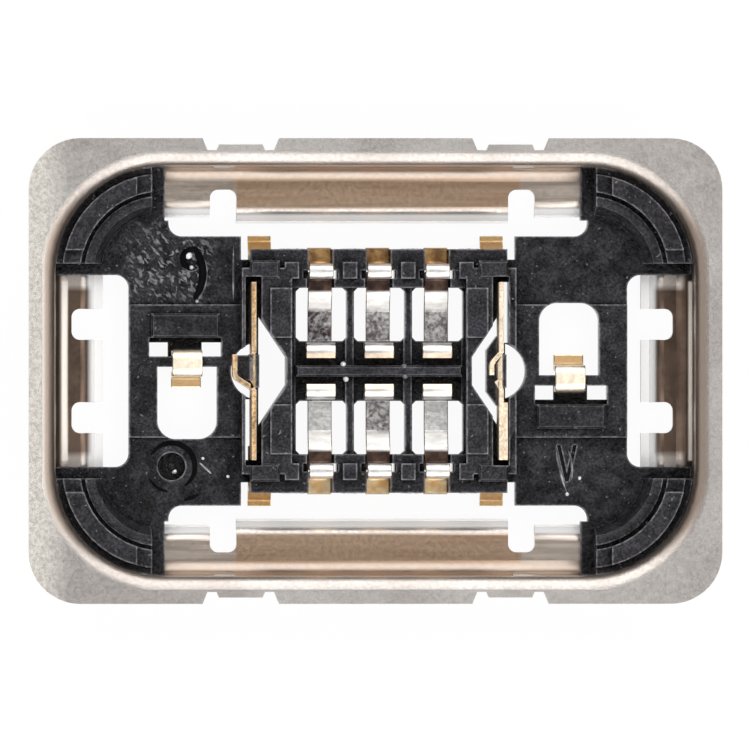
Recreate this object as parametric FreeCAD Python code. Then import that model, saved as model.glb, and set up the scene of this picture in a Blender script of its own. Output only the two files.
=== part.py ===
import FreeCAD, Part
import math
import os

# Flexible printed circuit connector, receptacle half, open side up.
# X runs along the length, Y across the width, Z up from the solder plane.
# All lengths in millimetres.

# Ground shell, drawn from one sheet
cavity_corner_radius = 0.64
sheet_thickness = 0.06
shell_height = 0.60
flange_reach_x = 0.163
flange_reach_y = 0.168
flange_corner_radius = 0.31
lip_outer_radius = 0.09
lip_inner_chamfer = 0.016
wall_bottom_z = 0.045
foot_bend_radius = 0.09
shelf_drop = 0.06

# Strip-carrier cuts in the long edges of the flange
carrier_corner_gap = 0.47
carrier_tab_width = 0.26
carrier_tab_setback = 0.038
carrier_notch_width = 0.10
carrier_notch_depth = 0.072
carrier_notch_slant = 0.03

# Tabs turned in at the bottom of the wall
long_side_tab_width = 0.274
long_relief_width = 0.16
long_relief_root = 0.14
long_centre_tab_foot = 0.025
long_centre_tab_shelf = 0.255
long_side_tab_foot = 0.026
long_side_tab_shelf = 0.22
short_side_tab_width = 0.204
short_relief_width = 0.185
short_relief_root = 0.11
short_tab_foot = 0.065
short_tab_shelf = 0.175
joggle_run = 0.06
relief_corner_radius = 0.05

# Latching beads pressed into the long walls
bead_corner_gap = 0.38
bead_length = 0.13
bead_radius = 0.04
bead_height = 0.018
bead_z = 0.30

# Signal contacts, two rows of formed strip
contact_pitch = 0.35
contacts_per_row = 3
contact_thickness = 0.04
spring_tip_y = 0.083
crown_overhang = 0.067
spring_floor_length = 0.215
ramp_run = 0.109
ledge_length = 0.102
arch_span = 0.049
tail_length = 0.117
arch_top_z = 0.40
ledge_z = 0.155
spring_floor_z = 0.09
crown_root_z = 0.17
spring_crown_z = 0.335
spring_tip_z = 0.305
contact_bend_radius = 0.034
tail_width = 0.145
crown_width = 0.178

# Housing: island round the contacts
base_z = 0.03
island_end_length = 0.249
tail_overhang = 0.009
neck_inset = 0.063
island_floor_z = 0.12
island_rail_z = 0.26
island_wall_z = 0.32
island_edge_chamfer = 0.012
bar_width = 0.056
rib_half_width = 0.033
rib_end_gap = 0.025
rib_top_z = 0.30
divider_width = 0.05
divider_top_z = 0.20
pillar_width = 0.085
pillar_inset = 0.078
corner_pad_gap = 0.075
corner_pad_inset = 0.069
corner_pad_top_z = 0.34
end_pad_length = 0.13
end_pad_half_width = 0.20

# Contact windows in the island floor
window_crown_gap = 0.03
window_left_reach = 0.145
window_right_reach = 0.16
window_corner_cut = 0.022
arch_pocket_half_width = 0.105
arch_pocket_floor_z = 0.20
arch_slit_width = 0.026
ledge_side_clearance = 0.01

# Shield blades beside the contact rows
blade_inset = 0.030
blade_shift_x = -0.012
blade_thickness = 0.03
blade_half_length = 0.535
blade_top_z = 0.38
blade_foot_z = 0.07
blade_slot_clearance = 0.033
blade_slot_floor_z = 0.13
blade_notch_half_width = 0.108
blade_notch_z = 0.21
left_finger_reach = 0.113
left_finger_turn_y = 0.035
left_finger_tip_y = 0.10
right_finger_reach = 0.055
right_finger_turn_y = 0.045
right_finger_tip_y = 0.025
finger_root_y = 0.16
finger_bottom_z = 0.215
finger_top_z = 0.33
finger_bend_radius = 0.04
saddle_inner_reach = 0.024
saddle_outer_reach = 0.039
saddle_end_gap = 0.008
right_guard_reach = 0.082
right_guard_root_reach = 0.02
right_guard_half_width = 0.125
right_guard_root_half_width = 0.21
left_guard_y0 = -0.057
left_guard_y1 = 0.095
stub_reach = 0.026
stub_turn_y = 0.105
stub_tip_y = 0.058
leaf_thickness = 0.026
leaf_start_y = 0.19
leaf_drop = 0.03
strap_inner_reach = 0.115
strap_outer_reach = 0.025
strap_lap = 0.085
strap_bend_inset = 0.023
strap_foot_reach = 0.081
strap_bend_radius = 0.034
through_slot_start_y = 0.17
through_slot_reach = 0.049

# Openings round the blades
half_moon_radius = 0.172
half_moon_outer_reach = 0.143
half_moon_inner_reach = 0.022
chevron_outer_half_width = 0.327
chevron_inner_half_width = 0.084
chevron_blade_gap = 0.024
chevron_moat_gap = 0.033

# Housing: end blocks and corner posts
inner_offset_x = 0.033
plate_gap = 0.051
plate_length = 0.675
plate_edge_gap = 0.42
plate_top_z = 0.15
plate_raised_z = 0.18
plate_raised_half_width = 0.40
plate_edge_radius = 0.08
corner_pad_x_overlap = 0.028
corner_pad_y_overlap = 0.013
slot_end_inset = 0.238
slot_end_reach = 0.095
post_end_x = 0.055
post_end_y = 0.056
post_rim_width = 0.045
post_crown_width = 0.108
post_groove_width = 0.025
post_ledge_width = 0.057
post_slope_width = 0.05
post_crown_end_x = 0.148
post_crown_end_y = 0.136
post_ledge_z = 0.39
post_groove_z = 0.35
post_rim_z = 0.36
post_crown_z = 0.46
post_ledge_fall = 0.02

# Radio-frequency contacts and their windows
rf_contact_inset = 0.327
rf_contact_width = 0.18
rf_foot_end_y = 0.10
rf_outer_leg_y = 0.018
rf_inner_leg_y = 0.107
rf_top_z = 0.30
rf_root_z = 0.06
rf_window_near_reach = 0.183
rf_window_far_reach = 0.177
rf_window_start_y = 0.025
rf_window_end_y = 0.409
rf_window_radius = 0.11
rf_slot_near_reach = 0.208
rf_slot_far_reach = 0.226
rf_slot_start_y = 0.088
rf_slot_end_y = 0.200
rf_slot_floor_z = 0.07
rf_side_window_end_y = 0.172
rf_side_window_length = 0.115
rf_block_end_y = 0.346
rf_block_margin = 0.012
rf_block_z = 0.22

# Moulding marks
ejector_inset = 0.418
ejector_y = 0.574
ejector_radius = 0.084
ejector_depth = 0.05
mark_depth = 0.02
gate_inset = 0.301
gate_y = 0.652
gate_radius = 0.05
index_inset = 0.312
index_top_y = 0.445
index_tip_y = 0.665
index_half_width = 0.06
index_line_width = 0.022

# Free strip between the island and the long centre tabs
side_gap = 0.157

# Contact profile and the island's width, from the centre line outwards
spring_rise_y = spring_tip_y + crown_overhang
window_near_y = spring_rise_y + window_crown_gap
ramp_end_y = spring_rise_y + spring_floor_length
ledge_inner_y = ramp_end_y + ramp_run
arch_leg_y = ledge_inner_y + ledge_length
bar_outer_y = arch_leg_y - contact_thickness / 2
bar_inner_y = bar_outer_y - bar_width
tail_leg_y = arch_leg_y + arch_span
arch_pocket_outer_y = tail_leg_y - contact_thickness / 2
tail_end_y = tail_leg_y + tail_length
island_half_width = tail_end_y - tail_overhang
neck_half_width = island_half_width - neck_inset
pillar_outer_y = island_half_width - pillar_inset
corner_pad_outer_y = island_half_width - corner_pad_inset
strap_start_y = blade_half_length - strap_lap
strap_bend_y = island_half_width - strap_bend_inset
strap_foot_end_y = island_half_width + strap_foot_reach

# Row length, island, blades and end blocks, from the middle outwards
moat_half_length = contacts_per_row * contact_pitch / 2
rib_half_length = moat_half_length - rib_end_gap
corner_pad_inner_x = moat_half_length + corner_pad_gap
island_half_length = moat_half_length + island_end_length
blade_x = island_half_length - blade_inset
strap_inner_x = blade_x - strap_inner_reach
strap_outer_x = blade_x + strap_outer_reach
through_slot_outer_x = blade_x + through_slot_reach
half_moon_outer_x = blade_x + half_moon_outer_reach
half_moon_inner_x = blade_x + half_moon_inner_reach
chevron_outer_x = blade_x - chevron_blade_gap
chevron_inner_x = moat_half_length + chevron_moat_gap
plate_inner_x = island_half_length + plate_gap
rf_contact_x = plate_inner_x + rf_contact_inset
rf_window_near_x = rf_contact_x - rf_window_near_reach
rf_window_far_x = rf_contact_x + rf_window_far_reach
rf_slot_near_x = rf_contact_x - rf_slot_near_reach
rf_slot_far_x = rf_contact_x + rf_slot_far_reach
ejector_x = plate_inner_x + ejector_inset
gate_x = plate_inner_x + gate_inset
index_x = plate_inner_x + index_inset

# Rings of the corner posts, from the shell inwards
post_crown_outer_radius = cavity_corner_radius - post_rim_width
post_crown_inner_radius = post_crown_outer_radius - post_crown_width
post_ledge_outer_radius = post_crown_inner_radius - post_groove_width
post_ledge_inner_radius = post_ledge_outer_radius - post_ledge_width
post_foot_radius = post_ledge_inner_radius - post_slope_width

# How far the tabs stand in from the wall
long_centre_tab_reach = long_centre_tab_shelf + joggle_run + long_centre_tab_foot
long_side_tab_reach = long_side_tab_shelf + joggle_run + long_side_tab_foot
short_tab_reach = short_tab_shelf + joggle_run + short_tab_foot

# Shell cavity, as large as what it goes round
cavity_length = 2 * (plate_inner_x + plate_length + plate_edge_gap)
cavity_width = 2 * (island_half_width + side_gap + long_centre_tab_reach)
carrier_tab_x = cavity_length / 2 - cavity_corner_radius - carrier_corner_gap
bead_x = cavity_length / 2 - cavity_corner_radius - bead_corner_gap

# Coordinates closer than this count as the same
same = 1e-6


def vec(x, y, z=0.0):
    return FreeCAD.Vector(x, y, z)


def block(x0, x1, y0, y1, z0, z1):
    return Part.makeBox(x1 - x0, y1 - y0, z1 - z0, vec(x0, y0, z0))


def joined(shapes):
    first, rest = shapes[0], shapes[1:]
    return first.fuse(rest).removeSplitter() if rest else first


def mirrored_x(shape):
    return shape.mirror(vec(0, 0, 0), vec(1, 0, 0))


def mirrored_y(shape):
    return shape.mirror(vec(0, 0, 0), vec(0, 1, 0))


def half_turn(shape):
    turned = shape.copy()
    turned.rotate(vec(0, 0, 0), vec(0, 0, 1), 180)
    return turned


def both_ends(shape):
    return [shape, mirrored_x(shape)]


def both_sides(shape):
    return [shape, mirrored_y(shape)]


def four_corners(shape):
    return both_ends(shape) + [half_turn(shape), mirrored_y(shape)]


def prism(points, z0, z1):
    """Upright prism over a straight-sided outline given as (x, y) pairs."""
    corners = [vec(x, y, z0) for x, y in points]
    outline = Part.makePolygon(corners + corners[:1])
    return Part.Face(outline).extrude(vec(0, 0, z1 - z0))


def upright_edges(shape):
    """The vertical straight edges of a prism."""
    found = []
    for edge in shape.Edges:
        start, end = edge.Vertexes[0].Point, edge.Vertexes[-1].Point
        if abs(start.x - end.x) < same and abs(start.y - end.y) < same:
            found.append(edge)
    return found


def rounded_box(x0, x1, y0, y1, radius, z0, z1):
    """Box with its four upright corners rounded."""
    shape = block(x0, x1, y0, y1, z0, z1)
    return shape.makeFillet(radius, upright_edges(shape))


def centred_round_box(half_x, half_y, radius, z0, z1):
    return rounded_box(-half_x, half_x, -half_y, half_y, radius, z0, z1)


def cornered_cutter(x0, x1, y0, y1, corner, top_z):
    """Cutter from the board plane up, with its four corners cut off."""
    outline = [
        (x0 + corner, y0),
        (x1 - corner, y0),
        (x1, y0 + corner),
        (x1, y1 - corner),
        (x1 - corner, y1),
        (x0 + corner, y1),
        (x0, y1 - corner),
        (x0, y0 + corner),
    ]
    return prism(outline, 0, top_z)


def level_edges(shape, z, half_x, half_y):
    """Edges that lie at height z inside a centred rectangle."""
    found = []
    for edge in shape.Edges:
        box = edge.BoundBox
        level = abs(box.ZMin - z) < same and abs(box.ZMax - z) < same
        in_x = max(abs(box.XMin), abs(box.XMax)) < half_x + same
        in_y = max(abs(box.YMin), abs(box.YMax)) < half_y + same
        if level and in_x and in_y:
            found.append(edge)
    return found


def strip_side(path, radii, half):
    """One edge line of a bent strip, half a thickness off its centre line.

    Gives straight and arc pieces as lists of two or three (u, v) points. A bend
    as tight as half the thickness is sharp on its inner side.
    """
    pieces = []
    heading = [(b[0] - a[0], b[1] - a[1]) for a, b in zip(path[:-1], path[1:])]
    length = [math.hypot(*h) for h in heading]
    unit = [(h[0] / n, h[1] / n) for h, n in zip(heading, length)]
    left = [(-u[1], u[0]) for u in unit]
    here = (path[0][0] + left[0][0] * half, path[0][1] + left[0][1] * half)
    for i, radius in enumerate(radii):
        corner, before, after = path[i + 1], unit[i], unit[i + 1]
        cross = before[0] * after[1] - before[1] * after[0]
        turn = math.atan2(cross, before[0] * after[0] + before[1] * after[1])
        side = 1.0 if turn > 0 else -1.0
        tangent = radius * math.tan(abs(turn) / 2)
        start = (corner[0] - before[0] * tangent, corner[1] - before[1] * tangent)
        end = (corner[0] + after[0] * tangent, corner[1] + after[1] * tangent)
        centre = (
            start[0] + left[i][0] * radius * side,
            start[1] + left[i][1] * radius * side,
        )
        reach = math.hypot(corner[0] - centre[0], corner[1] - centre[1])
        edge_radius = radius - side * half
        middle = (
            centre[0] + (corner[0] - centre[0]) * edge_radius / reach,
            centre[1] + (corner[1] - centre[1]) * edge_radius / reach,
        )
        start = (start[0] + left[i][0] * half, start[1] + left[i][1] * half)
        end = (end[0] + left[i + 1][0] * half, end[1] + left[i + 1][1] * half)
        pieces.append([here, start])
        if edge_radius > same:
            pieces.append([start, middle, end])
        here = end
    last = (path[-1][0] + left[-1][0] * half, path[-1][1] + left[-1][1] * half)
    pieces.append([here, last])
    return pieces


def bent_strip(path, radii, thickness, place, sweep):
    """Sheet strip bent along a centre line, then carried straight along sweep.

    place turns a (u, v) pair of the bending plane into a point.
    """
    near = strip_side(path, radii, thickness / 2)
    far = [piece[::-1] for piece in strip_side(path, radii, -thickness / 2)[::-1]]
    end_cap = [near[-1][-1], far[0][0]]
    start_cap = [far[-1][-1], near[0][0]]
    edges = []
    for piece in near + [end_cap] + far + [start_cap]:
        points = [place(*p) for p in piece]
        if len(points) == 3:
            edges.append(Part.Arc(*points).toShape())
        else:
            edges.append(Part.LineSegment(*points).toShape())
    return Part.Face(Part.Wire(edges)).extrude(sweep)


def extruded_tab(path, radii, wall, start, width, along_x):
    """Tab of bent sheet growing inward from the wall face at distance wall."""

    def place(inward, z):
        if along_x:
            return vec(start, wall - inward, z)
        return vec(wall - inward, start, z)

    sweep = vec(width, 0, 0) if along_x else vec(0, width, 0)
    return bent_strip(path, radii, sheet_thickness, place, sweep)


def tab_zone(half_side, pad_overlap):
    """Half length of the straight wall between the housing's corner pads."""
    return half_side - cavity_corner_radius - pad_overlap


def tab_path(shelf, reach):
    """Centre line of a tab: down the wall, in along the shelf, down to the board."""
    half = sheet_thickness / 2
    shelf_z = shelf_drop + half
    wall_top = shelf_z + half + foot_bend_radius
    path = [(-half, wall_top + half), (-half, shelf_z), (shelf, shelf_z)]
    path += [(shelf + joggle_run, half), (reach, half)]
    return path, [foot_bend_radius + half, half, half]


def root_path(reach):
    """Centre line of the plain bend that all tabs of one side share."""
    half = sheet_thickness / 2
    shelf_z = shelf_drop + half
    wall_top = shelf_z + half + foot_bend_radius
    return [(-half, wall_top + half), (-half, shelf_z), (reach, shelf_z)], [
        foot_bend_radius + half
    ]


def carrier_cut(sign):
    """Notched strip-carrier break on one long edge, at one end."""
    edge_y = cavity_width / 2 + flange_reach_y
    tab_y = edge_y - carrier_tab_setback
    notch_y = edge_y - carrier_notch_depth
    near = carrier_tab_x - carrier_tab_width / 2
    far = carrier_tab_x + carrier_tab_width / 2
    outside = edge_y + sheet_thickness
    outline = [
        (near - carrier_notch_width, outside),
        (near - carrier_notch_width, edge_y),
        (near - carrier_notch_width + carrier_notch_slant, notch_y),
        (near - carrier_notch_slant / 2, notch_y),
        (near, tab_y),
        (far, tab_y),
        (far + carrier_notch_slant / 2, notch_y),
        (far + carrier_notch_width - carrier_notch_slant, notch_y),
        (far + carrier_notch_width, edge_y),
        (far + carrier_notch_width, outside),
    ]
    return prism([(sign * x, y) for x, y in outline], 0, shell_height)


def long_side_tabs():
    """Centre tab and two smaller tabs of one long side, with relief slots."""
    wall = cavity_width / 2
    zone = tab_zone(cavity_length / 2, corner_pad_x_overlap)
    centre = zone - long_side_tab_width - long_relief_width
    slot_far = centre + long_relief_width
    path, radii = root_path(long_relief_root + relief_corner_radius)
    root = extruded_tab(path, radii, wall, -zone, 2 * zone, True)
    path, radii = tab_path(long_centre_tab_shelf, long_centre_tab_reach)
    middle = extruded_tab(path, radii, wall, -centre, 2 * centre, True)
    path, radii = tab_path(long_side_tab_shelf, long_side_tab_reach)
    side = extruded_tab(path, radii, wall, slot_far, zone - slot_far, True)
    slot = rounded_box(
        centre,
        slot_far,
        wall - long_centre_tab_reach - relief_corner_radius,
        wall - long_relief_root,
        relief_corner_radius,
        -sheet_thickness,
        shell_height / 2,
    )
    body = joined([root, middle] + both_ends(side))
    return body.cut(both_ends(slot))


def short_side_tabs():
    """Centre tab and two side tabs of one short side, with relief slots."""
    wall = cavity_length / 2
    zone = tab_zone(cavity_width / 2, corner_pad_y_overlap)
    centre = zone - short_side_tab_width - short_relief_width
    slot_far = centre + short_relief_width
    path, radii = root_path(short_relief_root + relief_corner_radius)
    root = extruded_tab(path, radii, wall, -zone, 2 * zone, False)
    path, radii = tab_path(short_tab_shelf, short_tab_reach)
    middle = extruded_tab(path, radii, wall, -centre, 2 * centre, False)
    side = extruded_tab(path, radii, wall, slot_far, zone - slot_far, False)
    slot = rounded_box(
        wall - short_tab_reach - relief_corner_radius,
        wall - short_relief_root,
        centre,
        slot_far,
        relief_corner_radius,
        -sheet_thickness,
        shell_height / 2,
    )
    body = joined([root, middle] + both_sides(side))
    return body.cut(both_sides(slot))


def wall_bead():
    """Shallow latching bead standing off the inner face of a long wall."""
    centre_y = cavity_width / 2 + bead_radius - bead_height
    bar = Part.makeCylinder(
        bead_radius,
        bead_length,
        vec(bead_x - bead_length / 2, centre_y, bead_z),
        vec(1, 0, 0),
    )
    room = block(
        0,
        cavity_length,
        0,
        cavity_width / 2 + sheet_thickness / 2,
        0,
        shell_height,
    )
    return bar.common(room)


def make_ground_shell():
    half_x, half_y = cavity_length / 2, cavity_width / 2
    under = shell_height - sheet_thickness
    flange = centred_round_box(
        half_x + flange_reach_x,
        half_y + flange_reach_y,
        flange_corner_radius,
        under,
        shell_height,
    )
    wall = centred_round_box(
        half_x + sheet_thickness,
        half_y + sheet_thickness,
        cavity_corner_radius + sheet_thickness,
        wall_bottom_z,
        under,
    )
    cavity = centred_round_box(half_x, half_y, cavity_corner_radius, 0, shell_height)
    cup = joined([flange, wall]).cut(cavity)
    mouth = level_edges(cup, shell_height, half_x, half_y)
    cup = cup.makeFillet(lip_outer_radius, mouth)
    root = level_edges(cup, under, half_x + sheet_thickness, half_y + sheet_thickness)
    cup = cup.makeChamfer(lip_inner_chamfer, root)
    carriers = []
    for sign in (1, -1):
        carriers += both_sides(carrier_cut(sign))
    cup = cup.cut(carriers)
    bend_top = shelf_drop + sheet_thickness + foot_bend_radius
    zone_x = tab_zone(half_x, corner_pad_x_overlap)
    zone_y = tab_zone(half_y, corner_pad_y_overlap)
    cup = cup.cut(
        [
            block(-zone_x, zone_x, -2 * half_y, 2 * half_y, -sheet_thickness, bend_top),
            block(-2 * half_x, 2 * half_x, -zone_y, zone_y, -sheet_thickness, bend_top),
        ]
    )
    parts = [cup] + both_sides(long_side_tabs()) + both_ends(short_side_tabs())
    bead = wall_bead()
    return joined(parts + four_corners(bead))


def contact_strip(path, radii, width):
    """Strip of the +Y row bent along a (y, z) centre line, centred on X."""

    def place(y, z):
        return vec(-width / 2, y, z)

    return bent_strip(path, radii, contact_thickness, place, vec(width, 0, 0))


def signal_contact():
    """Tail, arch, ledge, ramp and trough of the +Y row, with a wider sprung crown."""
    half = contact_thickness / 2
    crown_root = (spring_rise_y, crown_root_z)
    path = [
        (tail_end_y, half),
        (tail_leg_y, half),
        (tail_leg_y, arch_top_z - half),
        (arch_leg_y, arch_top_z - half),
        (arch_leg_y, ledge_z),
        (ledge_inner_y, ledge_z),
        (ramp_end_y, spring_floor_z),
        (spring_rise_y, spring_floor_z),
        crown_root,
    ]
    bend = contact_bend_radius
    radii = [bend, half, half] + [bend] * 4
    crown_path = [
        crown_root,
        (spring_rise_y, spring_crown_z),
        (spring_tip_y, spring_tip_z),
    ]
    strip = contact_strip(path, radii, tail_width)
    return joined([strip, contact_strip(crown_path, [bend], crown_width)])


def rf_contact():
    """Wide staple-shaped contact of the left end block."""
    half = contact_thickness / 2
    path = [
        (-rf_foot_end_y, half),
        (-rf_outer_leg_y, half),
        (-rf_outer_leg_y, rf_top_z - half),
        (rf_inner_leg_y, rf_top_z - half),
        (rf_inner_leg_y, rf_root_z),
    ]

    def place(y, z):
        return vec(-rf_contact_x - rf_contact_width / 2, y, z)

    return bent_strip(
        path,
        [contact_bend_radius] * 3,
        contact_thickness,
        place,
        vec(rf_contact_width, 0, 0),
    )


def blade_finger(plan):
    """Narrow strip on edge, bent to a plan of (x, y) points."""

    def place(x, y):
        return vec(x, y, finger_bottom_z)

    return bent_strip(
        plan,
        [finger_bend_radius] * (len(plan) - 2),
        blade_thickness,
        place,
        vec(0, 0, finger_top_z - finger_bottom_z),
    )


def upright_blade(finger_reach, turn_y, tip_y):
    """Strip on edge along Y, notched in the middle, where a finger springs to -X.

    The finger grows from the -Y half and turns parallel to the strip at turn_y.
    """
    half = blade_thickness / 2
    strip = block(
        -half, half, -blade_half_length, blade_half_length, blade_foot_z, blade_top_z
    )
    notch = block(
        -blade_thickness,
        blade_thickness,
        -blade_notch_half_width,
        blade_notch_half_width,
        blade_notch_z,
        shell_height,
    )
    finger = blade_finger(
        [
            (0, -finger_root_y),
            (0, -blade_notch_half_width),
            (-finger_reach, -turn_y),
            (-finger_reach, tip_y),
        ]
    )
    return joined([strip.cut(notch), finger])


def blade_strap():
    """Strap under the blade's end, stepping down to its solder foot, at +X +Y."""
    half = blade_thickness / 2
    path = [
        (strap_start_y, blade_foot_z + half),
        (strap_bend_y, blade_foot_z + half),
        (strap_bend_y + joggle_run, half),
        (strap_foot_end_y, half),
    ]

    def place(y, z):
        return vec(strap_inner_x, y, z)

    return bent_strip(
        path,
        [strap_bend_radius] * 2,
        blade_thickness,
        place,
        vec(strap_outer_x - strap_inner_x, 0, 0),
    )


def make_left_blade():
    """Left blade: a long finger starts from its -Y half."""
    blade = upright_blade(left_finger_reach, left_finger_turn_y, left_finger_tip_y)
    blade.translate(vec(-blade_x, 0, 0))
    straps = both_sides(mirrored_x(blade_strap()))
    return joined([blade] + straps)


def make_right_blade():
    """Right blade: a short finger from its +Y half, a stub and leaf on the other."""
    blade = upright_blade(right_finger_reach, right_finger_turn_y, right_finger_tip_y)
    half = blade_thickness / 2
    leaf = block(
        half,
        half + leaf_thickness,
        leaf_start_y,
        blade_half_length,
        blade_foot_z,
        blade_top_z - leaf_drop,
    )
    stub = blade_finger(
        [(0, finger_root_y), (0, stub_turn_y), (-stub_reach, stub_tip_y)]
    )
    blade = mirrored_y(joined([blade, leaf, stub]))
    blade.translate(vec(blade_x, 0, 0))
    return joined([blade] + both_sides(blade_strap()))


def corner_centre():
    """Axis of the cavity's corner round in the +X +Y corner."""
    return (
        cavity_length / 2 - cavity_corner_radius,
        cavity_width / 2 - cavity_corner_radius,
    )


def ring_sector(profile, centre_x, centre_y):
    """Quarter turn of an (r, z) profile round the corner axis, +X to +Y."""
    points = [vec(centre_x + r, centre_y, z) for r, z in profile]
    face = Part.Face(Part.makePolygon(points + points[:1]))
    return face.revolve(vec(centre_x, centre_y, 0), vec(0, 0, 1), 90)


def corner_post():
    """Guide post of the +X +Y corner: stepped ring sector against the shell."""
    cx, cy = corner_centre()
    body = ring_sector(
        [
            (post_foot_radius, base_z),
            (cavity_corner_radius, base_z),
            (cavity_corner_radius, post_rim_z),
            (post_crown_outer_radius, post_rim_z),
            (post_crown_outer_radius, post_ledge_z),
            (post_crown_inner_radius, post_ledge_z),
            (post_crown_inner_radius, post_groove_z),
            (post_ledge_outer_radius, post_groove_z),
            (post_ledge_outer_radius, post_ledge_z),
            (post_ledge_inner_radius, post_ledge_z - post_ledge_fall),
            (post_foot_radius, plate_top_z),
        ],
        cx,
        cy,
    )
    body = body.common(
        block(
            cx + post_end_x,
            cavity_length,
            cy + post_end_y,
            cavity_width,
            0,
            shell_height,
        )
    )
    crown = ring_sector(
        [
            (post_crown_inner_radius, post_groove_z),
            (post_crown_outer_radius, post_groove_z),
            (post_crown_outer_radius, post_crown_z),
            (post_crown_inner_radius, post_crown_z),
        ],
        cx,
        cy,
    )
    crown = crown.common(
        block(
            cx + post_crown_end_x,
            cavity_length,
            cy + post_crown_end_y,
            cavity_width,
            0,
            shell_height,
        )
    )
    return joined([body, crown])


def end_block(sign):
    """Plate, raised middle band and two corner posts, drawn at the +X end.

    sign tells which end it is for: the plate sits off centre with the island,
    while the corner posts follow the shell.
    """
    cx, cy = corner_centre()
    plate_x = cavity_length / 2 - plate_edge_gap
    plate_y = cavity_width / 2 - plate_edge_gap
    shift = sign * inner_offset_x
    pad_x = cx - corner_pad_x_overlap
    pad_y = cy - corner_pad_y_overlap
    near_x, far_x = plate_inner_x + shift, plate_x + shift
    slot_x = far_x - slot_end_inset
    plate = block(near_x, far_x, -plate_y, plate_y, base_z, plate_top_z)
    room = centred_round_box(
        cavity_length / 2,
        cavity_width / 2,
        cavity_corner_radius,
        base_z,
        plate_top_z,
    )
    slot_y = plate_y + slot_end_reach
    pad = room.common(block(pad_x, cavity_length, slot_y, cavity_width, 0, shell_height))
    inner_pad = block(slot_x, far_x, pad_y, slot_y, base_z, plate_top_z)
    edge_pad = room.common(block(far_x, cavity_length, pad_y, slot_y, 0, shell_height))
    pads = [pad, inner_pad, edge_pad]
    plate = joined([plate] + pads + [mirrored_y(piece) for piece in pads])
    hollow_corners = []
    for edge in upright_edges(plate):
        x, y = edge.Vertexes[0].Point.x, abs(edge.Vertexes[0].Point.y)
        at_slot = abs(x - slot_x) < same and abs(y - plate_y) < same
        at_side = abs(x - far_x) < same and abs(y - pad_y) < same
        if at_slot or at_side:
            hollow_corners.append(edge)
    plate = plate.makeFillet(plate_edge_radius, hollow_corners)
    band = block(
        near_x,
        far_x,
        -plate_raised_half_width,
        plate_raised_half_width,
        base_z,
        plate_raised_z,
    )
    return joined([plate, band] + both_sides(corner_post()))


def plain_pad(x0, x1, y0, y1, top_z):
    """Square-edged pad standing on the underside plane of the moulding."""
    return block(x0, x1, y0, y1, base_z, top_z)


def broken_pad(x0, x1, y0, y1, top_z):
    """Pad with its top edges broken."""
    pad = plain_pad(x0, x1, y0, y1, top_z)
    rim = level_edges(pad, top_z, cavity_length, cavity_width)
    return pad.makeChamfer(island_edge_chamfer, rim)


def contact_columns():
    """X positions of the contacts in one row."""
    middle = (contacts_per_row - 1) / 2
    return [(i - middle) * contact_pitch for i in range(contacts_per_row)]


def island():
    """Centre island: floor, rails, bars, rib, dividers and pads."""
    length, width = island_half_length, island_half_width
    floor = block(-length, length, -width, width, base_z, island_floor_z)
    neck = block(
        -plate_inner_x,
        plate_inner_x,
        -neck_half_width,
        neck_half_width,
        base_z,
        plate_top_z,
    )
    rail = plain_pad(-length, length, bar_outer_y, width, island_rail_z)
    bar = plain_pad(-moat_half_length, moat_half_length, bar_inner_y, bar_outer_y, island_rail_z)
    end_wall = plain_pad(
        moat_half_length,
        plate_inner_x,
        -neck_half_width + divider_width,
        neck_half_width - divider_width,
        island_wall_z,
    )
    corner = broken_pad(
        corner_pad_inner_x,
        length,
        bar_outer_y,
        corner_pad_outer_y,
        corner_pad_top_z,
    )
    end_pad = plain_pad(
        moat_half_length,
        moat_half_length + end_pad_length,
        end_pad_half_width,
        bar_inner_y,
        corner_pad_top_z,
    )
    rib = broken_pad(-rib_half_length, rib_half_length, -rib_half_width, rib_half_width, rib_top_z)
    pieces = [floor, neck, rib]
    pieces += both_sides(rail) + both_sides(bar) + both_ends(end_wall)
    pieces += four_corners(corner) + four_corners(end_pad)
    columns = contact_columns()
    bounds = [columns[0] - contact_pitch] + columns
    for x in [b + contact_pitch / 2 for b in bounds]:
        divider = plain_pad(
            x - divider_width / 2,
            x + divider_width / 2,
            -bar_inner_y,
            bar_inner_y,
            divider_top_z,
        )
        pillar = plain_pad(
            x - pillar_width / 2,
            x + pillar_width / 2,
            bar_outer_y,
            pillar_outer_y,
            island_wall_z,
        )
        pieces += [divider] + both_sides(pillar)
    return joined(pieces)


def contact_openings():
    """Windows, pockets and tail notches of the +Y contact row."""
    cuts = []
    top = shell_height
    for x in contact_columns():
        cuts.append(
            cornered_cutter(
                x - window_left_reach,
                x + window_right_reach,
                window_near_y,
                bar_inner_y,
                window_corner_cut,
                top,
            )
        )
        cuts.append(
            block(
                x - tail_width / 2 - ledge_side_clearance,
                x + tail_width / 2 + ledge_side_clearance,
                bar_inner_y,
                bar_outer_y,
                ledge_z - contact_thickness / 2,
                top,
            )
        )
        cuts.append(
            block(
                x - arch_pocket_half_width,
                x + arch_pocket_half_width,
                bar_outer_y,
                arch_pocket_outer_y,
                arch_pocket_floor_z,
                top,
            )
        )
        cuts.append(
            block(
                x - tail_width / 2,
                x + tail_width / 2,
                bar_outer_y,
                tail_end_y,
                0,
                top,
            )
        )
        cuts.append(
            block(
                x,
                x + tail_width / 2 + arch_slit_width,
                bar_outer_y,
                arch_pocket_outer_y,
                0,
                top,
            )
        )
    return cuts


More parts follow.
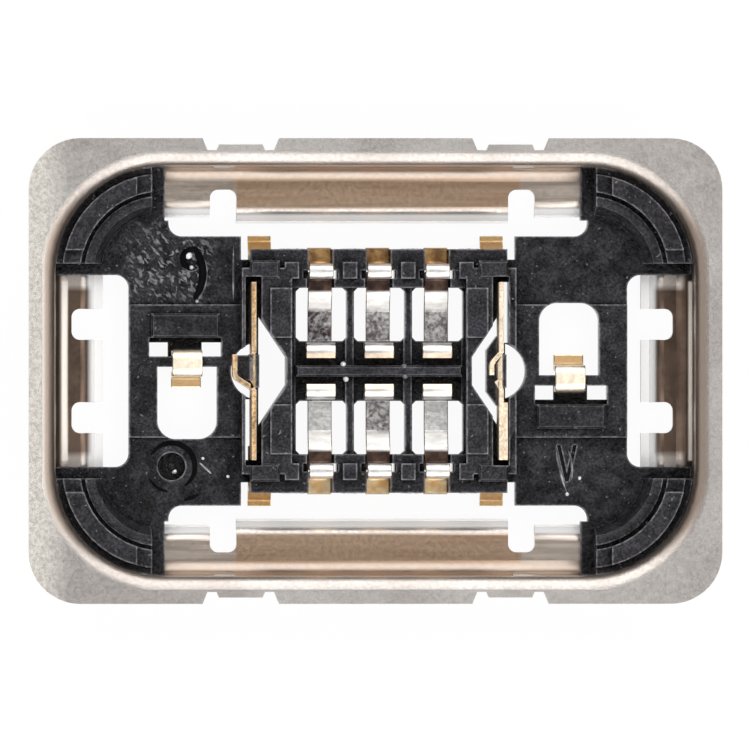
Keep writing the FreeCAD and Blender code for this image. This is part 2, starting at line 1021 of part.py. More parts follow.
def blade_slots():
    """Slot round the +X blade and the through slot beside it."""
    reach = blade_thickness / 2 + blade_slot_clearance
    slot = block(
        blade_x - reach,
        blade_x + reach,
        -blade_half_length - blade_slot_clearance,
        blade_half_length + blade_slot_clearance,
        blade_slot_floor_z,
        shell_height,
    )
    through = block(
        blade_x + blade_thickness / 2,
        through_slot_outer_x,
        through_slot_start_y,
        blade_half_length,
        0,
        shell_height,
    )
    return [slot, through]


def blade_windows():
    """Half-moon hole and chevron window on either side of the +X blade."""
    moon = Part.makeCylinder(
        half_moon_radius,
        shell_height,
        vec(half_moon_outer_x - half_moon_radius, 0, 0),
    )
    moon = moon.common(
        block(
            half_moon_inner_x,
            cavity_length,
            -half_moon_radius,
            half_moon_radius,
            0,
            shell_height,
        )
    )
    chevron = prism(
        [
            (chevron_outer_x, chevron_outer_half_width),
            (chevron_inner_x, chevron_inner_half_width),
            (chevron_inner_x, -chevron_inner_half_width),
            (chevron_outer_x, -chevron_outer_half_width),
        ],
        0,
        shell_height,
    )
    return [moon, chevron]


def saddles():
    """Plastic under the notch of each blade, and the guards behind the fingers."""
    half = blade_notch_half_width - saddle_end_gap
    blocks = []
    for x in (-blade_x, blade_x):
        blocks.append(
            plain_pad(
                x - saddle_inner_reach,
                x + saddle_outer_reach,
                -half,
                half,
                blade_notch_z,
            )
        )
    right_guard = prism(
        [
            (blade_x - right_guard_reach, right_guard_half_width),
            (blade_x - right_guard_root_reach, right_guard_root_half_width),
            (blade_x - right_guard_root_reach, -right_guard_root_half_width),
            (blade_x - right_guard_reach, -right_guard_half_width),
        ],
        base_z,
        finger_bottom_z,
    )
    left_guard = plain_pad(
        -blade_x - left_finger_reach + blade_thickness / 2,
        -blade_x,
        left_guard_y0,
        left_guard_y1,
        finger_bottom_z,
    )
    return blocks + [right_guard, left_guard]


def rf_openings():
    """Contact window, slot and side windows of the left end block."""
    top = shell_height
    window = rounded_box(
        -rf_window_far_x,
        -rf_window_near_x,
        -rf_window_end_y,
        rf_window_start_y,
        rf_window_radius,
        0,
        top,
    )
    square = block(
        -rf_window_far_x,
        -rf_window_near_x,
        -rf_foot_end_y,
        rf_window_start_y,
        0,
        top,
    )
    slot = block(
        -rf_slot_far_x,
        -rf_slot_near_x,
        rf_slot_start_y,
        rf_slot_end_y,
        rf_slot_floor_z,
        top,
    )
    cuts = [window, square, slot]
    for x in (-rf_slot_far_x, -rf_slot_near_x - rf_side_window_length):
        cuts.append(
            block(
                x,
                x + rf_side_window_length,
                rf_slot_start_y,
                rf_side_window_end_y,
                0,
                top,
            )
        )
    return cuts


def rf_step_block():
    """Raised block behind the contact slot of the left end block."""
    return broken_pad(
        -rf_slot_far_x + rf_block_margin,
        -rf_slot_near_x - rf_block_margin,
        rf_slot_end_y,
        rf_block_end_y,
        rf_block_z,
    )


def moulding_marks():
    """Ejector mark and gate mark of the left end block, index mark of the right."""
    top = plate_top_z
    x, y = -ejector_x, -ejector_y
    well = Part.makeCylinder(
        ejector_radius, ejector_depth, vec(x, y, top - ejector_depth)
    )
    dimple = Part.makeCylinder(
        gate_radius, mark_depth, vec(-gate_x, gate_y, top - mark_depth)
    )
    marks = [well, dimple]
    for side in (-1, 1):
        outer_x = index_x + side * index_half_width
        outline = [
            (outer_x, -index_top_y),
            (outer_x - side * index_line_width, -index_top_y),
            (index_x - side * index_line_width / 2, -index_tip_y),
            (index_x + side * index_line_width / 2, -index_tip_y),
        ]
        marks.append(prism(outline, top - mark_depth, shell_height))
    return marks


def make_housing(metal):
    """The moulding, formed round the metal parts it holds."""
    ends = [end_block(1), mirrored_x(end_block(-1))]
    step = rf_step_block()
    middle = [island(), step, half_turn(step)]
    backing = saddles()
    cuts = contact_openings()
    cuts += [mirrored_y(cut) for cut in cuts]
    windows = blade_windows()
    cuts += windows + [half_turn(cut) for cut in windows]
    around_rf = rf_openings()
    cuts += around_rf + [half_turn(cut) for cut in around_rf]
    cuts += moulding_marks()
    slots = blade_slots()
    slots += [half_turn(slot) for slot in slots]
    for shape in slots + backing:
        shape.translate(vec(blade_shift_x, 0, 0))
    cuts += slots
    for shape in middle + backing + cuts:
        shape.translate(vec(inner_offset_x, 0, 0))
    body = joined(ends + middle).cut(cuts)
    return joined([body] + backing).cut(metal).removeSplitter()


def save(shape, node):
    solid = shape.Solids[0] if len(shape.Solids) == 1 else shape
    solid.exportStep("parts/" + node + ".step")


def main():
    os.makedirs("parts", exist_ok=True)
    metal = {"ground_shell": make_ground_shell()}
    number = 1
    for turned in (False, True):
        for x in contact_columns():
            contact = signal_contact()
            contact.translate(vec(x, 0, 0))
            if turned:
                contact = mirrored_y(contact)
            metal["signal_contact_" + str(number)] = contact
            number += 1
    metal["rf_contact_left"] = rf_contact()
    metal["rf_contact_right"] = half_turn(metal["rf_contact_left"])
    metal["shield_blade_left"] = make_left_blade()
    metal["shield_blade_right"] = make_right_blade()
    for node in ("shield_blade_left", "shield_blade_right"):
        metal[node].translate(vec(blade_shift_x, 0, 0))
    for node, shape in metal.items():
        if node != "ground_shell":
            shape.translate(vec(inner_offset_x, 0, 0))
    housing = make_housing(list(metal.values()))
    save(housing, "housing")
    for node, shape in metal.items():
        save(shape, node)


main()
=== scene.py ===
import math

import bmesh
import bpy
from mathutils import Matrix, Vector


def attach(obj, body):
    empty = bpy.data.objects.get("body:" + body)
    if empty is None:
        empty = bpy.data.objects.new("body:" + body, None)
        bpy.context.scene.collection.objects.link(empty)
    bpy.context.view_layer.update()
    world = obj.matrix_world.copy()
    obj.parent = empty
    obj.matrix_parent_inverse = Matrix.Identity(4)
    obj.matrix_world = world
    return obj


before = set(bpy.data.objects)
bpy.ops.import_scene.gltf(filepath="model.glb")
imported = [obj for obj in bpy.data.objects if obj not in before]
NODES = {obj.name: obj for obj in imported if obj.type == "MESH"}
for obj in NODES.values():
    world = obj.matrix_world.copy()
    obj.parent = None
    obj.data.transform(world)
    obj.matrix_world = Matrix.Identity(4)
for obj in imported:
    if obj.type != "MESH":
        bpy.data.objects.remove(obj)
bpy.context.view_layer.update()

# Scene of a board connector's receptacle, seen from its mating side. Blender
# works in metres, the sizes below are in millimetres and go through MM.
MM = 0.001

# Planes and places of the moulding that the small pieces sit on
OFFSET_X = 0.033
PLATE_TOP = 0.15
WELL_FLOOR = 0.10
RIB_TOP = 0.30
RAIL_Y = 0.733
RAIL_TOP = 0.255
EJECTOR = (OFFSET_X - 1.243, -0.574)
GATE = (-1.272, 0.588)
GATE_HOLLOW = (-1.082, 0.672)

# Corners of the cavity, seen from above
CORNER_CENTRE = (1.28, 0.59)
CORNER_RADIUS = 0.64

# Parts of the shell, the moulding and the contacts with a finish of their own,
# as ranges either side of the middle
LONG_SHELF = dict(To_X=0.86, From_Y=0.98, To_Y=1.16, From_Z=0.09, To_Z=0.16, Blur=0.03)
SHORT_SHELF = dict(From_X=1.66, To_X=1.90, To_Y=0.5, From_Z=0.09, To_Z=0.25, Blur=0.04)
SIDE_SHELF = dict(
    From_X=0.86, To_X=1.3, From_Y=0.98, To_Y=1.20, From_Z=0.09, To_Z=0.16, Blur=0.03
)
TAB_FEET = dict(To_Z=0.10, Blur=0.02)
TAB_ROOT = dict(To_X=1.4, From_Y=1.135, To_Y=1.215, From_Z=0.09, To_Z=0.30, Blur=0.03)
SHORT_TAB_BEND = dict(From_X=1.868, To_X=1.902, To_Y=0.54, To_Z=0.25, Blur=0.012)
INNER_WALL = dict(From_Z=0.12, To_Z=0.54, Blur=0.02)
END_WALL = dict(From_X=1.6, To_Y=0.95, From_Z=0.10, To_Z=0.48, Blur=0.02)
LIP_HEIGHT = dict(From_Z=0.46, Blur=0.03)
FLANGE_HEIGHT = dict(From_Z=0.54, Blur=0.02)
GATE_AREA = dict(
    From_X=1.02, To_X=1.50, From_Y=0.44, To_Y=0.86, From_Z=0.12, To_Z=0.17, Blur=0.12
)
SHADED_RECESSES = dict(To_Z=0.17, Blur=0.14)
END_BLOCK_TOP = dict(From_X=0.80, To_X=1.9, From_Z=0.142, Blur=0.01)
POST_HEIGHT = dict(From_Z=0.25, Blur=0.02)
POST_GROOVE = dict(From_Radius=0.455, To_Radius=0.492)
CONTACT_TAIL = dict(From_Y=0.632, To_Y=0.9, To_Z=0.30)
CONTACT_TIP = dict(From_Y=0.0, To_Y=0.112, Blur=0.03)
CONTACT_TROUGH = dict(From_Y=0.165, To_Y=0.37, To_Z=0.13, Blur=0.03)
CONTACT_LEDGE = dict(From_Y=0.478, To_Y=0.565, To_Z=0.24, Blur=0.02)
SOLDER_TAIL = dict(To_Z=0.10, Blur=0.02)
LEFT_END_HIGHLIGHT_X = (-2.02, -1.80)

# Colours as shaders take them, linear; a pair is the two ends of a blend
NICKEL_GREY = (0.57, 0.54, 0.512)
NICKEL_PALE = (0.75, 0.72, 0.685)
LEFT_END_HIGHLIGHT_CREAM = (1.0, 0.95, 0.87)
NICKEL_CLOUD = (0.45, 0.41, 0.39)
NICKEL_SCUFF = (0.33, 0.30, 0.28)
SHELF_SILVER = ((0.34, 0.30, 0.265), (0.74, 0.68, 0.62))
FEET_HIGHLIGHT_PALE = (0.90, 0.89, 0.88)
LIP_SHADE_TAN = (0.34, 0.27, 0.225)
WALL_SHADE_TAN = (0.60, 0.48, 0.39)
ROOT_SHADE_TAN = (0.42, 0.34, 0.285)
WALL_SHADE = (0.075, 0.055, 0.045)
LONG_SHELF_BROWN = ((0.44, 0.305, 0.21), (0.52, 0.375, 0.27))
SHORT_SHELF_BROWN = ((0.10, 0.068, 0.05), (0.22, 0.155, 0.12))
BEND_HIGHLIGHT_CREAM = (0.92, 0.86, 0.78)
MOULDING_SHADE_BLACK = (0.0010, 0.0009, 0.0012)
MOULDING_GREY = (0.013, 0.012, 0.015)
MOULDING_GRAIN = (0.078, 0.076, 0.087)
MOULDING_RIPPLE = (0.34, 0.335, 0.355)
MOULDING_FLECK = (0.26, 0.255, 0.27)
MOULDING_RIM_HIGHLIGHT = (0.26, 0.255, 0.275)
EDGE_HIGHLIGHT_TONES = ((0.030, 0.029, 0.034), (0.42, 0.415, 0.44))
GROOVE_SHADOW_BLACK = ((0.0010, 0.0010, 0.0013), (0.0040, 0.0038, 0.0045))
PALE_FLASH_AND_HIGHLIGHT = ((0.36, 0.355, 0.38), (0.92, 0.91, 0.93))
BARRIER_PLATE = ((0.66, 0.645, 0.63), (0.86, 0.85, 0.83))
TROUGH_DARK = (0.075, 0.052, 0.055)
LEDGE_SHADE_BROWN = ((0.16, 0.10, 0.075), (0.05, 0.033, 0.03))
BROWN_GOLD = ((0.24, 0.115, 0.035), (0.74, 0.46, 0.18))
CLEAN_GOLD = ((0.80, 0.50, 0.20), (1.0, 0.88, 0.62))
WORN_GOLD = (0.90, 0.80, 0.64)
TAIL_BROWN = (0.62, 0.38, 0.15)

# Polished breaks along stamped edges
NICKEL_BREAK = dict(colour=(0.80, 0.77, 0.74), rough=0.30)
GOLD_BREAK = dict(colour=(1.0, 0.86, 0.64), rough=0.26)
CONTACT_BREAK = dict(colour=(0.42, 0.33, 0.25), rough=0.30)

# Gold over strip: colours and how rough it is from streak to streak
WIDE_GOLD = dict(dark=(0.94, 0.78, 0.56), pale=(1.0, 0.95, 0.84), rough=(0.42, 0.52))
RIGHT_BLADE_GOLD = dict(dark=(0.66, 0.48, 0.32), pale=(1.0, 0.90, 0.74), rough=(0.42, 0.60))
LEFT_BLADE_GOLD = dict(dark=(0.30, 0.15, 0.06), pale=(0.95, 0.62, 0.30), rough=(0.34, 0.52))

# How dark the trough of each signal contact is, from 1 to 6
SIGNAL_TROUGH_DARKNESS = (1.0, 0.85, 0.8, 0.15, 0.85, 0.1)

# Bump depths of the surfaces
SHELL_RELIEF = 0.0003
MOULDING_RELIEF = 0.0022
STRIP_RELIEF = 0.0006

# Radius and segments of the broken edges, and what counts as an edge
SHELL_EDGE = (0.006, 2)
HOUSING_EDGE = (0.008, 1)
CONTACT_EDGE = (0.006, 2)
BLADE_EDGE = (0.009, 3)
EDGE_ANGLE = math.radians(30)
FLAT_ANGLE = math.radians(0.5)
WELD_GAP = 0.00002

# Marks that the mould left on the moulding, sunk by a depth into the top of the
# plates. Beads are given by their radius at the middle and at the ends.
# Beads finished black are painted shadow for the unlit bottoms of grooves; pale beads along lips
# are painted highlights.
MARK_ARCS = (
    # name, centre, radius, from and to in degrees, points, depth, middle, ends, finish
    ("ejector_witness_ring", EJECTOR, 0.141, -58, 152, 40, 0.006, 0.018, 0.006, "groove_shade"),
    ("ejector_witness_arc", EJECTOR, 0.152, 208, 262, 14, 0.004, 0.010, 0.004, "groove_shade"),
    ("gate_witness_groove", GATE, 0.250, 40, -38, 28, 0.006, 0.026, 0.010, "groove_shade"),
    ("gate_witness_hollow", GATE_HOLLOW, 0.060, 80, 250, 20, 0.006, 0.021, 0.010, "groove_shade"),
    ("gate_witness_lip", GATE, 0.274, 22, -40, 24, 0.004, 0.007, 0.002, "edge"),
)
MARK_LINES = (
    # name, from, to, depth, middle, ends, finish
    ("ejector_drag_mark", (-1.135, -0.777), (-1.045, -0.744), 0.005, 0.014, 0.005, "groove_shade"),
    ("ejector_scuff", (-1.045, -0.549), (-0.967, -0.621), 0.003, 0.007, 0.002, "edge"),
)
MARK_PIPS = (
    # name, foot, radius, height, finish
    ("ejector_pip", (*EJECTOR, WELL_FLOOR), 0.034, 0.030, "moulding"),
    ("ejector_bright_pip", (-1.192, -0.603, WELL_FLOOR - 0.004), 0.017, 0.022, "flash"),
    ("ejector_scuff_pip", (-1.021, -0.526, PLATE_TOP - 0.006), 0.011, 0.010, "flash"),
    ("plate_pip", (-0.871, -0.635, PLATE_TOP - 0.006), 0.012, 0.010, "flash"),
    ("gate_pip_upper", (-1.108, 0.696, PLATE_TOP - 0.012), 0.024, 0.026, "flash"),
    ("gate_pip_lower", (-1.090, 0.622, PLATE_TOP - 0.030), 0.015, 0.022, "flash"),
    ("gate_pip_low", (-1.057, 0.418, PLATE_TOP - 0.008), 0.012, 0.014, "flash"),
    ("index_pip_tip", (1.172, -0.741, PLATE_TOP - 0.006), 0.013, 0.011, "flash"),
    ("index_pip_side", (1.247, -0.645, PLATE_TOP - 0.006), 0.013, 0.011, "flash"),
)
# Painted highlights: pale beads along the lips and edges of the plates
LIP_HIGHLIGHT_DEPTH, LIP_HIGHLIGHT_MIDDLE, LIP_HIGHLIGHT_ENDS = 0.003, 0.008, 0.003
PLATE_LIP_HIGHLIGHTS = {
    "index_lip_left": (
        (1.103, -0.465), (1.113, -0.535), (1.128, -0.60), (1.148, -0.67), (1.172, -0.735)
    ),
    "index_lip_right": ((1.178, -0.475), (1.196, -0.53), (1.203, -0.60), (1.200, -0.66)),
    "plate_edge_highlight": ((-0.838, 0.42), (-0.838, 0.53), (-0.838, 0.64), (-0.838, 0.753)),
}
STUD_RADIUS, STUD_HEIGHT, STUD_DEPTH = 0.017, 0.036, 0.03
RIB_STUDS = (
    (-0.182, 0.040, "flash"),
    (-0.166, -0.048, "flash"),
    (0.184, 0.027, "edge"),
    (0.190, -0.03, "edge"),
)
# Painted highlights: pale lines along the rails' edges
RAIL_HIGHLIGHT_MIDDLE, RAIL_HIGHLIGHT_ENDS = 0.005, 0.002
RAIL_HIGHLIGHT_X = ((-0.60, -0.43), (-0.23, -0.09), (0.13, 0.26), (0.48, 0.60))

# Studio
FLOOR_HALF = 250.0
FLOOR_GREY = (0.88, 0.88, 0.88, 1.0)
FLOOR_GLOW = 0.94
WHITE = (1.0, 1.0, 1.0, 1.0)
WARM_WHITE = (1.0, 0.99, 0.975, 1.0)
FILL_LEVELS = (0.5, 0.16)
LAMP_DISTANCE = 80.0
LAMPS = (
    # name, azimuth from +X, elevation, width, height, radiance
    ("lamp_back", 90, 38, 130, 115, 1.9),
    ("lamp_front", 270, 38, 130, 115, 1.9),
    ("lamp_left", 180, 34, 60, 90, 0.45),
    ("lamp_right", 0, 50, 60, 70, 1.3),
)

# Camera
PIXEL = 0.006
TILT = math.radians(2.462)
LENS = 1400.0
SENSOR = 36.0
AIM = (-0.0048, -0.024, 0.60)
FRAME_PIXELS = 750
CLIP_START = 1.0
CLIP_END = 1000.0


def tree_node(tree, kind, inputs=None, **settings):
    """Adds a node, with its settings and its inputs linked or set."""
    made = tree.nodes.new(kind)
    for name, value in settings.items():
        setattr(made, name, value)
    for socket, value in (inputs or {}).items():
        if isinstance(value, bpy.types.NodeSocket):
            tree.links.new(value, made.inputs[socket])
        else:
            made.inputs[socket].default_value = value
    return made


def maths(tree, operation, first, second=0.0, clamp=False):
    """Result of a sum on two values."""
    made = tree_node(tree, "ShaderNodeMath", {0: first, 1: second}, operation=operation)
    made.use_clamp = clamp
    return made.outputs[0]


def multiplied(tree, first, *others):
    """Product of masks and shares."""
    product = first
    for other in others:
        product = maths(tree, "MULTIPLY", product, other)
    return product


def turned_over(tree, mask):
    """Mask that is 1 where the other is 0."""
    return maths(tree, "SUBTRACT", 1.0, mask, clamp=True)


def blended(tree, mask, low, high):
    """Colour that goes from low to high with a mask."""
    made = tree_node(tree, "ShaderNodeMix", data_type="RGBA")
    for socket, value in ((0, mask), (6, low), (7, high)):
        if isinstance(value, bpy.types.NodeSocket):
            tree.links.new(value, made.inputs[socket])
        elif socket == 0:
            made.inputs[0].default_value = value
        else:
            made.inputs[socket].default_value = (*value, 1.0)
    return made.outputs[2]


def ranged(tree, value, low, high, out_low, out_high):
    """Smooth step from out_low to out_high while the value goes from low to high."""
    made = tree_node(
        tree,
        "ShaderNodeMapRange",
        {"Value": value, "From Min": low, "From Max": high, "To Min": out_low, "To Max": out_high},
        interpolation_type="SMOOTHSTEP",
    )
    return made.outputs["Result"]


def between(tree, value, low, high, blur):
    """Mask that is 1 from low to high, with soft ends."""
    past = maths(tree, "SUBTRACT", value, low)
    short = maths(tree, "SUBTRACT", high, value)
    soft = maths(tree, "DIVIDE", maths(tree, "MINIMUM", past, short), blur)
    return maths(tree, "ADD", soft, 0.5, clamp=True)


def new_group(name, inputs, outputs):
    """Shader node group with number inputs and named outputs."""
    group = bpy.data.node_groups.new(name, "ShaderNodeTree")
    for label, default in inputs:
        socket = group.interface.new_socket(label, in_out="INPUT", socket_type="NodeSocketFloat")
        socket.default_value = default
    for label in outputs:
        group.interface.new_socket(label, in_out="OUTPUT", socket_type="NodeSocketFloat")
    start = group.nodes.new("NodeGroupInput")
    end = group.nodes.new("NodeGroupOutput")
    return group, start, end


def place_group(tree, group, **values):
    """Puts a group in a tree with its inputs set; gives its outputs."""
    made = tree_node(tree, "ShaderNodeGroup", node_tree=group)
    for label, value in values.items():
        made.inputs[label.replace("_", " ")].default_value = value
    return made.outputs


def area_mask(tree, band, region):
    """Mask of one of the areas named at the top."""
    return place_group(tree, band, **region)["Mask"]


def place_in_mm(tree):
    """Place on the object in millimetres."""
    coordinates = tree.nodes.new("ShaderNodeTexCoord")
    scaled = tree_node(
        tree,
        "ShaderNodeVectorMath",
        {0: coordinates.outputs["Object"], "Scale": 1.0 / MM},
        operation="SCALE",
    )
    return scaled.outputs[0]


def split_place(tree):
    """The three coordinates of the place on the object, in millimetres."""
    return tree_node(tree, "ShaderNodeSeparateXYZ", {0: place_in_mm(tree)}).outputs


def past_corner_centre(tree, parts):
    """How far the place lies beyond the nearest corner centre along X and Y."""
    return [
        maths(tree, "SUBTRACT", maths(tree, "ABSOLUTE", parts[axis]), centre)
        for axis, centre in zip("XY", CORNER_CENTRE)
    ]


def length_in_plan(tree, x, y):
    """Length of a vector seen from above."""
    vector = tree_node(tree, "ShaderNodeCombineXYZ", {"X": x, "Y": y, "Z": 0.0})
    length = tree_node(tree, "ShaderNodeVectorMath", {0: vector.outputs[0]}, operation="LENGTH")
    return length.outputs["Value"]


def openness(tree, reach, samples, inside):
    """How far the surface lies open within a reach, outward or into the moulding."""
    return tree_node(
        tree,
        "ShaderNodeAmbientOcclusion",
        {"Distance": reach * MM},
        samples=samples,
        inside=inside,
        only_local=True,
    ).outputs["AO"]


def noise(tree, vector, scale, detail, roughness=0.5):
    """Plain noise, scale per millimetre."""
    made = tree_node(
        tree,
        "ShaderNodeTexNoise",
        {"Vector": vector, "Scale": scale, "Detail": detail, "Roughness": roughness},
    )
    return made.outputs["Fac"]


def plating_grain_group():
    """Clouds, fine grain and rolling streaks of plated strip."""
    group, start, end = new_group(
        "plating_grain",
        [("Cloud Scale", 6.0), ("Grain Scale", 45.0), ("Stretch X", 1.0), ("Stretch Y", 1.0)],
        ["Clouds", "Grain", "Streaks"],
    )
    place = place_in_mm(group)
    clouds = noise(group, place, start.outputs["Cloud Scale"], 4.0, 0.6)
    grain = noise(group, place, start.outputs["Grain Scale"], 3.0, 0.65)
    stretch = tree_node(
        group,
        "ShaderNodeCombineXYZ",
        {"X": start.outputs["Stretch X"], "Y": start.outputs["Stretch Y"], "Z": 1.0},
    )
    drawn = tree_node(
        group, "ShaderNodeVectorMath", {0: place, 1: stretch.outputs[0]}, operation="MULTIPLY"
    )
    streaks = noise(group, drawn.outputs[0], 14.0, 4.0, 0.6)
    for label, value in (("Clouds", clouds), ("Grain", grain), ("Streaks", streaks)):
        group.links.new(ranged(group, value, 0.3, 0.7, 0.0, 1.0), end.inputs[label])
    return group


def band_group():
    """Mask that is 1 between two places along each axis, either side of the middle."""
    ends = [(end + " " + axis, far) for axis in "XYZ" for end, far in (("From", -9.0), ("To", 9.0))]
    group, start, end = new_group("place_band", ends + [("Blur", 0.02)], ["Mask"])
    parts = split_place(group)
    places = {
        "X": maths(group, "ABSOLUTE", maths(group, "SUBTRACT", parts["X"], OFFSET_X)),
        "Y": maths(group, "ABSOLUTE", parts["Y"]),
        "Z": parts["Z"],
    }
    limits = start.outputs
    levels = [
        between(group, value, limits["From " + axis], limits["To " + axis], limits["Blur"])
        for axis, value in places.items()
    ]
    group.links.new(multiplied(group, *levels), end.inputs["Mask"])
    return group


def post_ring_group():
    """Mask of a ring round each corner post's own centre, seen from above."""
    group, start, end = new_group(
        "post_ring", [("From Radius", 0.0), ("To Radius", 1.0), ("Blur", 0.01)], ["Mask"]
    )
    radius = length_in_plan(group, *past_corner_centre(group, split_place(group)))
    limits = start.outputs
    ring = between(group, radius, limits["From Radius"], limits["To Radius"], limits["Blur"])
    group.links.new(ring, end.inputs["Mask"])
    return group


def wall_distance_group():
    """Distance outward from the cavity's wall, seen from above, and height above the board."""
    group, start, end = new_group(
        "wall_distance", [("Corner Radius", CORNER_RADIUS)], ["Distance", "Height"]
    )
    parts = split_place(group)
    x, y = past_corner_centre(group, parts)
    outward = [maths(group, "MAXIMUM", part, 0.0) for part in (x, y)]
    inward = maths(group, "MINIMUM", maths(group, "MAXIMUM", x, y), 0.0)
    reach = maths(group, "ADD", length_in_plan(group, *outward), inward)
    distance = maths(group, "SUBTRACT", reach, start.outputs["Corner Radius"])
    group.links.new(distance, end.inputs["Distance"])
    group.links.new(parts["Z"], end.inputs["Height"])
    return group


def new_material(name):
    """Material with its node tree and Principled shader."""
    material = bpy.data.materials.new(name)
    material.use_nodes = True
    tree = material.node_tree
    shader = tree.nodes["Principled BSDF"]
    return material, tree, shader


def bumped(tree, shader, height, depth):
    """Bump of a real depth, put on the shader's normal."""
    bump = tree_node(
        tree, "ShaderNodeBump", {"Height": height, "Distance": depth * MM, "Strength": 1.0}
    )
    tree.links.new(bump.outputs["Normal"], shader.inputs["Normal"])


def lip_shade_mask(tree, band, from_wall, across):
    """Painted shade on the rolled lip between the cavity's wall and the flange, strongest on the
    short sides.
    """
    outward = from_wall["Distance"]
    risen = maths(tree, "SUBTRACT", from_wall["Height"], LIP_HEIGHT["From_Z"])
    past_roll = maths(tree, "SUBTRACT", outward, multiplied(tree, risen, 0.8))
    return multiplied(
        tree,
        ranged(tree, outward, -0.04, 0.0, 0.0, 1.0),
        ranged(tree, outward, 0.055, 0.095, 1.0, 0.0),
        ranged(tree, past_roll, 0.02, 0.05, 1.0, 0.0),
        ranged(tree, across, 0.8, 1.25, 0.95, 0.3),
        area_mask(tree, band, LIP_HEIGHT),
    )


def shell_plating(grain, band, wall):
    """Satin nickel on the drawn shell, brown on the tab shelves. Painted highlights make the left
    end, the tab feet and the short tabs' bends paler; painted shade darkens the rolled lip, the
    inner walls, the tab roots and the end walls.
    """
    material, tree, shader = new_material("shell_satin_nickel")
    mottle = place_group(
        tree, grain, Cloud_Scale=2.4, Grain_Scale=42.0, Stretch_X=0.25, Stretch_Y=0.25
    )
    rolled = place_group(
        tree, grain, Cloud_Scale=5.0, Grain_Scale=90.0, Stretch_X=0.10, Stretch_Y=2.4
    )
    scratches = place_group(
        tree, grain, Cloud_Scale=11.0, Grain_Scale=24.0, Stretch_X=3.0, Stretch_Y=0.3
    )
    feet = area_mask(tree, band, TAB_FEET)
    bend_highlight = area_mask(tree, band, SHORT_TAB_BEND)
    parts = split_place(tree)
    along = maths(tree, "ABSOLUTE", parts["X"])
    across = maths(tree, "ABSOLUTE", parts["Y"])
    left_end_highlight = ranged(tree, parts["X"], *LEFT_END_HIGHLIGHT_X, 1.0, 0.0)
    from_wall = place_group(tree, wall, Corner_Radius=CORNER_RADIUS)
    inner_face = ranged(tree, from_wall["Distance"], 0.02, 0.04, 1.0, 0.0)
    near_wall = ranged(tree, from_wall["Distance"], -0.06, -0.03, 0.0, 1.0)
    corner = multiplied(
        tree, ranged(tree, along, 1.2, 1.9, 0.0, 1.0), ranged(tree, across, 0.7, 1.2, 0.0, 1.0)
    )
    patch_share = maths(tree, "ADD", multiplied(tree, corner, 0.34), 0.06)

    colour = blended(tree, mottle["Grain"], NICKEL_GREY, NICKEL_PALE)
    end_face = multiplied(tree, inner_face, near_wall)
    for mask, finish in (
        (multiplied(tree, mottle["Clouds"], 0.6), NICKEL_CLOUD),
        (multiplied(tree, scratches["Grain"], patch_share), NICKEL_SCUFF),
        # Painted highlight: the left end of the shell is painted cream, as if lit from that side
        (multiplied(tree, left_end_highlight, 0.75), LEFT_END_HIGHLIGHT_CREAM),
        (area_mask(tree, band, SIDE_SHELF), blended(tree, rolled["Streaks"], *SHELF_SILVER)),
        # Painted highlight: the tab feet are painted pale and made dull, against the shade they lie
        # in
        (feet, FEET_HIGHLIGHT_PALE),
        # Painted shade: the rolled lip is painted tan
        (lip_shade_mask(tree, band, from_wall, across), LIP_SHADE_TAN),
        # Painted shade: the cavity's inner walls are painted warm tan
        (multiplied(tree, area_mask(tree, band, INNER_WALL), inner_face, 0.7), WALL_SHADE_TAN),
        # Painted shade: the crease where the wall turns into the tabs is painted darker tan
        (multiplied(tree, area_mask(tree, band, TAB_ROOT), inner_face, 0.7), ROOT_SHADE_TAN),
        # Painted shade: the end walls are painted near black
        (multiplied(tree, area_mask(tree, band, END_WALL), end_face, 0.92), WALL_SHADE),
        # The tab shelves are brown, darker on the short sides
        (area_mask(tree, band, LONG_SHELF), blended(tree, rolled["Streaks"], *LONG_SHELF_BROWN)),
        (area_mask(tree, band, SHORT_SHELF), blended(tree, mottle["Clouds"], *SHORT_SHELF_BROWN)),
        # Painted highlight: the short tabs' bends are painted cream and made dull
        (bend_highlight, BEND_HIGHLIGHT_CREAM),
    ):
        colour = blended(tree, mask, colour, finish)
    tree.links.new(colour, shader.inputs["Base Color"])

    rough = ranged(tree, mottle["Grain"], 0.0, 1.0, 0.40, 0.33)
    rough = maths(tree, "ADD", rough, multiplied(tree, feet, 0.3))
    tree.links.new(rough, shader.inputs["Roughness"])
    dull = multiplied(tree, maths(tree, "MAXIMUM", feet, bend_highlight), 0.75)
    tree.links.new(turned_over(tree, dull), shader.inputs["Metallic"])
    relief = maths(tree, "ADD", mottle["Grain"], multiplied(tree, mottle["Clouds"], 0.8))
    flange = area_mask(tree, band, FLANGE_HEIGHT)
    bumped(tree, shader, multiplied(tree, relief, flange), SHELL_RELIEF)
    return material


def gate_ripple(tree, band, place):
    """Flow ripples, only on the left end block behind the gate."""
    turned = tree_node(
        tree,
        "ShaderNodeMapping",
        {"Vector": place, "Rotation": (0.0, 0.0, -0.8), "Scale": (1.9, 1.0, 1.0)},
        vector_type="TEXTURE",
    )
    swirl = tree_node(
        tree,
        "ShaderNodeTexNoise",
        {
            "Vector": turned.outputs["Vector"],
            "Scale": 40.0,
            "Detail": 1.2,
            "Roughness": 0.5,
            "Distortion": 0.8,
        },
    ).outputs["Fac"]
    parts = tree_node(tree, "ShaderNodeSeparateXYZ", {0: place}).outputs
    return multiplied(
        tree,
        ranged(tree, parts["X"], 0.0, 0.1, 1.0, 0.0),
        ranged(tree, parts["Y"], 0.0, 0.1, 0.0, 1.0),
        area_mask(tree, band, GATE_AREA),
        ranged(tree, swirl, 0.535, 0.62, 0.0, 1.0),
    )


